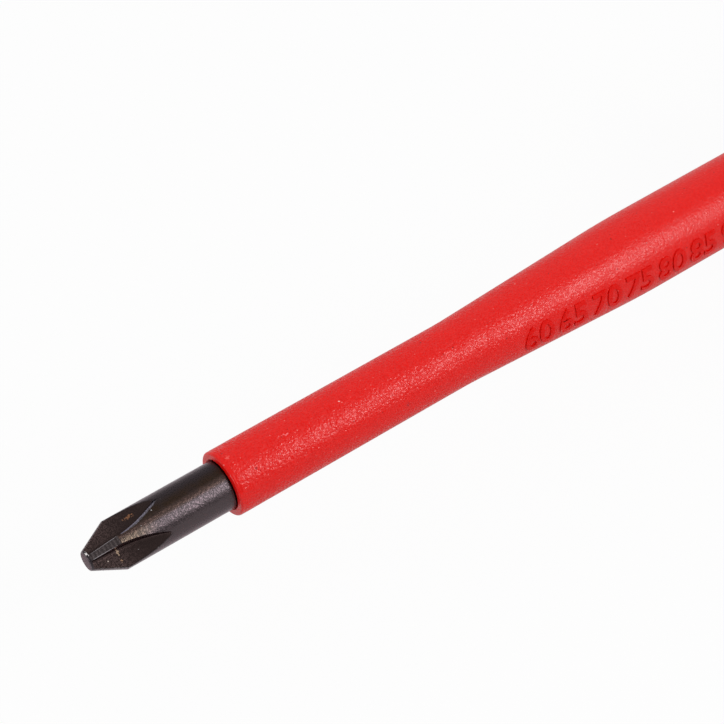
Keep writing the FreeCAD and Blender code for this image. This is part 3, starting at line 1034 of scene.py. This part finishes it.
# %% Finish of the blade: zones of the point
def zones_of_point(tree, mm):
    """Outputs: distance along the tool, turn round it, and how far below the uncut bar."""
    apart = tree.nodes.new("ShaderNodeSeparateXYZ")
    tree.links.new(mm, apart.inputs[0])
    along, across, up = apart.outputs
    across_squared = arithmetic(tree, "MULTIPLY", across, across)
    up_squared = arithmetic(tree, "MULTIPLY", up, up)
    radius = arithmetic(tree, "SQRT", arithmetic(tree, "ADD", across_squared, up_squared))
    cone = arithmetic(tree, "ADD", arithmetic(tree, "MULTIPLY", along, POINT_SLOPE), POINT_R)
    uncut = arithmetic(tree, "MINIMUM", cone, BAR_R)
    below = arithmetic(tree, "SUBTRACT", uncut, radius)
    front = arithmetic(tree, "MULTIPLY", across, -1.0)
    turn = arithmetic(tree, "ARCTAN2", front, up)
    return along, turn, below


def between(tree, value, start, end, soft):
    """1 between two numbers and 0 outside, with soft ends."""
    rise = graded(tree, value, start - soft, start + soft)
    fall = graded(tree, value, end - soft, end + soft, 1.0, 0.0)
    return arithmetic(tree, "MULTIPLY", rise, fall)


print("zones ready")

# %% [markdown]
# Blackened steel has a neutral to violet black, with a brown cast where the heat stayed longer.
# Its underside is painted lighter: painted light on the side that faces down to the front. The cone
# keeps faint rings from its grinding wheel. Each zone is a range of turn round the tool, in radians
# from the top towards the front, or of distance along it, in millimetres. A third number is the
# softness of its ends.

# %% Finish of the blade: colours of the bar and the cone
OXIDE, LIT_UNDERSIDE_OXIDE = (0.050, 0.036, 0.041), (0.082, 0.060, 0.065)
BROWN, HEATED, WARM = (0.053, 0.028, 0.016), (0.070, 0.048, 0.033), (0.098, 0.059, 0.050)
GROUND_DARK, GROUND_LIGHT = (0.062, 0.047, 0.048), (0.115, 0.092, 0.093)
END_FACE = (0.044, 0.033, 0.038)
LIT_UNDERSIDE_TURNS, WARM_TURNS = (0.75, 1.2), (0.30, 0.49, 0.10)
BROWN_TURNS, BROWN_PATCHES = (-0.06, 0.42, 0.2), (0.3, 0.6, 0.6, 1.0)
HEATED_TURNS, HEATED_LENGTH, HEATED_SHARE = (0.15, 0.85, 0.15), (5.0, 9.0), 0.9
CONE_LENGTH, END_LENGTH = (point_length - 0.1, point_length), (0.2, 0.35)
RING_LOOK = {"Scale": 0.75, "Distortion": 1.6, "Detail": 2.0, "Detail Scale": 1.5}


def ground_steel(tree, mm):
    """Colour of the cone, with faint rings across it."""
    rings = tree.nodes.new("ShaderNodeTexWave")
    rings.wave_type = "BANDS"
    rings.bands_direction = "X"
    for name, number in RING_LOOK.items():
        rings.inputs[name].default_value = number
    tree.links.new(mm, rings.inputs["Vector"])
    return blended(tree, rings.outputs["Fac"], GROUND_DARK, GROUND_LIGHT)


def bar_colour(tree, mm, along, turn):
    """Colour of the uncut bar, its cone and its end."""
    # Painted light: the underside is made lighter than the top.
    colour = blended(tree, graded(tree, turn, *LIT_UNDERSIDE_TURNS), OXIDE, LIT_UNDERSIDE_OXIDE)
    patches = graded(tree, noise(tree, mm, 0.8, 2.0), *BROWN_PATCHES)
    brown = product(tree, between(tree, turn, *BROWN_TURNS), patches)
    colour = blended(tree, brown, colour, BROWN)
    near_point = graded(tree, along, *HEATED_LENGTH, HEATED_SHARE, 0.0)
    heated = product(tree, between(tree, turn, *HEATED_TURNS), near_point)
    colour = blended(tree, heated, colour, HEATED)
    colour = blended(tree, between(tree, turn, *WARM_TURNS), colour, WARM)
    on_cone = graded(tree, along, *CONE_LENGTH, 1.0, 0.0)
    colour = blended(tree, on_cone, colour, ground_steel(tree, mm))
    on_end = graded(tree, along, *END_LENGTH, 1.0, 0.0)
    return blended(tree, on_end, colour, END_FACE)


print("colours of the bar ready")

# %% [markdown]
# The rounded lip of the upper groove gets a pale blue, a painted reflection. The edges of the wings
# are worn lighter, and the wing in view is painted bright along its edges as well, a painted
# highlight. An edge is found by how little it lies below the uncut bar, in millimetres, and then by
# its turn and its distance along the tool. Where the blade goes into the sleeve, the shade in the
# fine gap is painted black on the steel.

# %% Finish of the blade: colours of the grooves and the edges
GROOVE_OXIDE, LIP_PAINTED_REFLECTION = (0.062, 0.041, 0.039), (0.36, 0.34, 0.43)
WORN, WORN_EDGE_AND_HIGHLIGHT, PAINTED_GAP_SHADE = (0.14, 0.122, 0.128), (0.50, 0.46, 0.48), (0.004, 0.003, 0.003)
SPARK, SPARKS = (0.40, 0.37, 0.37), (3.9, 0.87, 0.90)  # colour; size and levels
LIP_BELOW, LIP_TURNS, LIP_LENGTH = (0.008, 0.36, 0.006), (-0.27, 0.44, 0.03), (3.9, 9.3, 0.4)
EDGE_BELOW, EDGE_PATCHES, EDGE_LENGTH = (0.012, 0.06, 0.01), (0.35, 0.6), (8.5, 9.5)
WING_BELOW, WING_TURNS, WING_LENGTH = (0.006, 0.09, 0.005), (0.1, 0.9, 0.05), (0.5, 3.6, 0.2)
MOUTH_SHADE = (SLEEVE_FRONT - 0.16, SLEEVE_FRONT - 0.08)


def edge_colour(tree, mm, colour, along, turn, below, skin):
    """Worn edges, painted reflection and highlight, and a few bright sparks over a colour."""
    # The lip's pale blue is a painted reflection.
    lip = product(
        tree,
        between(tree, below, *LIP_BELOW),
        between(tree, turn, *LIP_TURNS),
        between(tree, along, *LIP_LENGTH),
    )
    colour = blended(tree, lip, colour, LIP_PAINTED_REFLECTION)
    edge = product(
        tree,
        between(tree, below, *EDGE_BELOW),
        graded(tree, skin, *EDGE_PATCHES),
        graded(tree, along, *EDGE_LENGTH, 1.0, 0.0),
    )
    colour = blended(tree, edge, colour, WORN)
    # The wing's edges are worn, and painted bright as a painted highlight.
    wing_edge = product(
        tree,
        between(tree, below, *WING_BELOW),
        between(tree, turn, *WING_TURNS),
        between(tree, along, *WING_LENGTH),
    )
    colour = blended(tree, wing_edge, colour, WORN_EDGE_AND_HIGHLIGHT)
    return blended(tree, specks(tree, mm, *SPARKS), colour, SPARK)


print("colours of the edges ready")

# %% [markdown]
# The oxide is a metal's surface, but rust, dirt and the painted highlight are not, so the marks are
# taken out of the metallic share. Grains of different gloss make the highlight sparkle, and a thin
# film of oil gives the steel its bright rims. The film is gone in the grooves and in the sleeve's
# mouth.

# %% Finish of the blade
SKIN_SIZE, FINE_SKIN_SIZE = 3.0, 6.0  # in a millimetre
SKIN_DEPTH = 0.04  # millimetres
SKIN_SPARKLE = (0.39, 0.62, 0.47, 0.21)  # levels of the fine grain, and the roughness there
GROOVE_BELOW = (0.06, 0.12)
GROOVE_GLOSS, GROOVE_GRAIN = -0.06, 0.2  # change of roughness, and what stays of the grain
VIOLET_SHEEN = (1.0, 0.86, 0.92, 1)
OIL, LEAST_OIL, OIL_IOR, OIL_ROUGHNESS = 0.8, 0.1, 1.3, 0.3


def steel_finish():
    finish, tree, shader, mm = new_finish("black_oxide_steel")
    along, turn, below = zones_of_point(tree, mm)
    skin = noise(tree, mm, SKIN_SIZE, 1.5, 0.5)
    fine = noise(tree, mm, FINE_SKIN_SIZE, 1.0)
    in_groove = graded(tree, below, *GROOVE_BELOW)
    in_mouth = graded(tree, along, *MOUTH_SHADE)
    colour = blended(tree, in_groove, bar_colour(tree, mm, along, turn), GROOVE_OXIDE)
    colour = edge_colour(tree, mm, colour, along, turn, below, skin)
    # Painted shade: the steel is black just in front of the sleeve's mouth.
    colour = blended(tree, in_mouth, colour, PAINTED_GAP_SHADE)
    colour, marks = marked(tree, mm, colour, STEEL_MARKS_AND_HIGHLIGHT, fine)
    tree.links.new(colour, shader.inputs["Base Color"])
    bare = [arithmetic(tree, "SUBTRACT", 1.0, here) for here in marks]
    tree.links.new(product(tree, *bare), shader.inputs["Metallic"])
    shader.inputs["Specular Tint"].default_value = VIOLET_SHEEN
    glossier = graded(tree, in_groove, 0, 1, 0.0, GROOVE_GLOSS)
    rough = arithmetic(tree, "ADD", graded(tree, fine, *SKIN_SPARKLE), glossier)
    tree.links.new(rough, shader.inputs["Roughness"])
    film = arithmetic(tree, "SUBTRACT", OIL, arithmetic(tree, "MAXIMUM", in_groove, in_mouth))
    film = arithmetic(tree, "MAXIMUM", film, LEAST_OIL)
    tree.links.new(film, shader.inputs["Coat Weight"])
    shader.inputs["Coat IOR"].default_value = OIL_IOR
    shader.inputs["Coat Roughness"].default_value = OIL_ROUGHNESS
    height = product(tree, skin, graded(tree, in_groove, 0, 1, 1.0, GROOVE_GRAIN))
    tree.links.new(bumped(tree, height, SKIN_DEPTH), shader.inputs["Normal"])
    return finish


dressed(steel_finish(), blade)

# %% [markdown]
# The hard parts of the handle are the sleeve's red in a satin finish. The soft parts are a black
# rubbery plastic with a fine grain, which is rough to the touch and hardly shines. The core round
# the blade's end is never seen, but is given its own plain amber plastic with flow marks.

# %% Finishes of the handle
def moulded_finish(name, dark, light, roughness, grain_size, grain_depth):
    """Plastic with a fine grain: its size in a millimetre and its depth in millimetres."""
    finish, tree, shader, mm = new_finish(name)
    grain = noise(tree, mm, grain_size, 3.0, 0.6)
    cloud = noise(tree, mm, 0.35, 2.0)
    shade = blended(tree, graded(tree, cloud, *MIDDLE), dark, light)
    tree.links.new(shade, shader.inputs["Base Color"])
    tree.links.new(graded(tree, grain, *MIDDLE, *roughness), shader.inputs["Roughness"])
    tree.links.new(bumped(tree, grain, grain_depth), shader.inputs["Normal"])
    return finish


satin_red = moulded_finish(
    "shell_plastic",
    dark=(0.68, 0.010, 0.007),
    light=(0.71, 0.013, 0.009),
    roughness=(0.26, 0.34),
    grain_size=5.0,
    grain_depth=0.006,
)
soft_black = moulded_finish(
    "soft_black",
    dark=(0.020, 0.020, 0.022),
    light=(0.023, 0.023, 0.025),
    roughness=(0.62, 0.78),
    grain_size=4.0,
    grain_depth=0.05,
)
amber = moulded_finish(
    "core_plastic",
    dark=(0.70, 0.40, 0.04),
    light=(0.80, 0.50, 0.06),
    roughness=(0.35, 0.45),
    grain_size=3.0,
    grain_depth=0.01,
)
dressed(satin_red, shell, cap)
dressed(soft_black, palm_grip, spin_grip)
dressed(amber, nodes["tang_core"])

# %% [markdown]
# Last, the size of the dressed tool is printed beside the construction model's own box.

# %% Sizes of the dressed tool and the frame
bpy.context.view_layer.update()
dressed_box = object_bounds()
boxes = {
    "cad": [list(corner) for corner in cad_box],
    "dressed": [list(corner) for corner in dressed_box],
}
for name, box in boxes.items():
    print(name, "box in mm", [round(c / MM, 1) for corner in box for c in corner])
